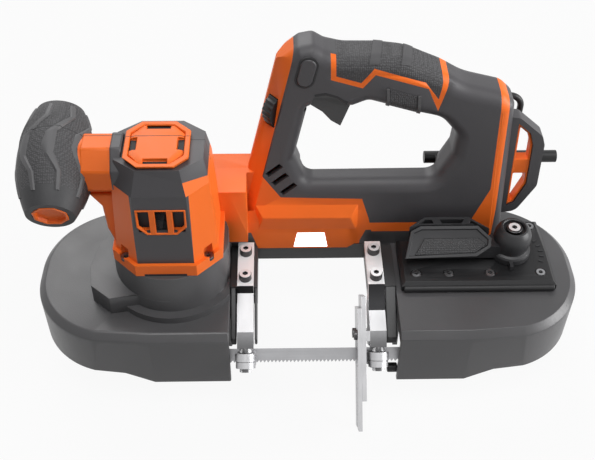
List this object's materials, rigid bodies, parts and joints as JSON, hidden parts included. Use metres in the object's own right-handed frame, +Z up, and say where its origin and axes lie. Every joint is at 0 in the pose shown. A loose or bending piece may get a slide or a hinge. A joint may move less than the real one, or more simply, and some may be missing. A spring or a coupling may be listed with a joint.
{
  "type": "portable band saw",
  "caption": "Cordless portable band saw with a D-handle, an upright motor tower, a side knob, twisted blade across an open throat, blade guides, a work stop and a tension lever.",
  "frame": {"origin": "middle of the bounding box, on its underside", "axes": "+X towards the tension end, +Y away from the cutting side, +Z up"},
  "size_m": [0.373, 0.172, 0.2355],
  "materials": {
    "orange": "moulded orange plastic",
    "grey": "fine textured dark grey plastic",
    "black": "satin black plastic",
    "rubber": "stippled soft grip",
    "tyre": "plain band tyre",
    "cast": "machined and bead blasted",
    "steel": "brushed",
    "bolt": "blackened",
    "iron": "painted black",
    "copper": "bare",
    "lens": "clear lens",
    "board": "resin board"
  },
  "bodies": {
    "saw": {"left_wheel_guard": "grey", "right_wheel_guard": "grey", "main_frame": "iron", "shaft_bearings": "steel", "motor_stator": "steel", "gearbox_housing": "grey", "motor_housing_front": "orange", "motor_housing_rear": "orange", "motor_front_panel": "grey", "motor_collar": "grey", "motor_end_cap": "orange", "case_screws": "bolt", "knob_core": "orange", "knob_grip": "rubber", "loop_liner": "orange", "switch_module": "black", "control_board": "board", "work_light": "lens", "hook_bar": "black", "battery_foot": "black", "battery_terminals": "copper", "tension_plate": "black", "tension_spring": "steel", "left_blade_guide": "cast", "right_blade_guide": "cast", "guide_bolts": "bolt", "stop_bracket": "steel", "saw_blade": "steel", "handle_grip": "rubber", "grip_inlay": "orange", "end_stripe": "orange", "handle_front": "grey", "body_front": "orange", "handle_rear": "grey", "body_rear": "orange", "guard_loop": "grey"},
    "drive": {"drive_wheel": "cast", "drive_tyre": "tyre", "drive_shaft": "steel", "drive_gear": "steel"},
    "motor": {"motor_pinion": "steel", "motor_shaft": "steel", "motor_rotor": "steel", "motor_fan": "black"},
    "carriage": {"tension_carriage": "cast", "idler_axle": "steel"},
    "idler": {"idler_wheel": "cast", "idler_tyre": "tyre", "idler_bearing": "steel"},
    "lever": {"tension_lever": "black", "lever_bolt": "bolt"},
    "trigger": {"trigger": "grey"},
    "lock_button": {"lock_button": "grey"},
    "speed_dial": {"speed_dial": "black"},
    "work_stop": {"work_stop": "steel"},
    "hang_hook": {"hang_hook": "black"},
    "roller_left_front": {"roller_left_front": "steel"},
    "roller_left_rear": {"roller_left_rear": "steel"},
    "roller_right_front": {"roller_right_front": "steel"},
    "roller_right_rear": {"roller_right_rear": "steel"}
  },
  "joints": [
    {"name": "drive_spin", "type": "hinge", "parent": "saw", "child": "drive", "pos_m": [-0.13, 0.00847, 0.04384], "axis": [0, 0, 1], "continuous": true},
    {"name": "motor_spin", "type": "hinge", "parent": "saw", "child": "motor", "pos_m": [-0.0925, 0.00847, 0.05484], "axis": [0, 0, 1], "continuous": true},
    {"name": "tension_swing", "type": "hinge", "parent": "saw", "child": "lever", "pos_m": [0.141, 0.01947, 0.07924], "axis": [0, 0, 1], "range_deg": [0, 150]},
    {"name": "carriage_slide", "type": "slide", "parent": "saw", "child": "carriage", "axis": [1, 0, 0], "range_m": [-0.008, 0], "deforming": ["tension_spring"]},
    {"name": "idler_spin", "type": "hinge", "parent": "carriage", "child": "idler", "pos_m": [0.13, 0.00847, 0.04384], "axis": [0, 0, 1], "continuous": true},
    {"name": "trigger_pull", "type": "hinge", "parent": "saw", "child": "trigger", "pos_m": [0.0031, 0.05072, 0.2037], "axis": [0, -1, 0], "range_deg": [0, 8], "stiffness_Nm_per_rad": 0.6},
    {"name": "lock_press", "type": "slide", "parent": "saw", "child": "lock_button", "axis": [0, 1, 0], "range_m": [0, 0.004], "stiffness_N_per_m": 400},
    {"name": "dial_turn", "type": "hinge", "parent": "saw", "child": "speed_dial", "pos_m": [-0.01839, 0.04759, 0.185], "axis": [-0.6402, 0.7682, 0], "range_deg": [0, 270]},
    {"name": "stop_slide", "type": "slide", "parent": "saw", "child": "work_stop", "axis": [0, -0.7071, -0.7071], "range_m": [-0.02, 0]},
    {"name": "hook_swing", "type": "hinge", "parent": "saw", "child": "hang_hook", "pos_m": [0.112, 0.07847, 0.11684], "axis": [-1, 0, 0], "range_deg": [0, 90]},
    {"name": "roller_left_front_spin", "type": "hinge", "parent": "saw", "child": "roller_left_front", "pos_m": [-0.0435, -0.0475, 0.04922], "axis": [0, -0.7071, -0.7071], "continuous": true},
    {"name": "roller_left_rear_spin", "type": "hinge", "parent": "saw", "child": "roller_left_rear", "pos_m": [-0.0435, -0.03676, 0.03847], "axis": [0, -0.7071, -0.7071], "continuous": true},
    {"name": "roller_right_front_spin", "type": "hinge", "parent": "saw", "child": "roller_right_front", "pos_m": [0.0455, -0.0475, 0.04922], "axis": [0, -0.7071, -0.7071], "continuous": true},
    {"name": "roller_right_rear_spin", "type": "hinge", "parent": "saw", "child": "roller_right_rear", "pos_m": [0.0455, -0.03676, 0.03847], "axis": [0, -0.7071, -0.7071], "continuous": true}
  ],
  "couplings": [
    {"joint": "motor_spin", "follows": "drive_spin", "ratio": -4},
    {"joint": "idler_spin", "follows": "drive_spin", "ratio": 1},
    {"joint": "carriage_slide", "follows": "tension_swing", "m_per_rad": -0.0030558},
    {"joint": "roller_left_front_spin", "follows": "drive_spin", "ratio": 7.2286},
    {"joint": "roller_left_rear_spin", "follows": "drive_spin", "ratio": -7.2286},
    {"joint": "roller_right_front_spin", "follows": "drive_spin", "ratio": 7.2286},
    {"joint": "roller_right_rear_spin", "follows": "drive_spin", "ratio": -7.2286}
  ]
}
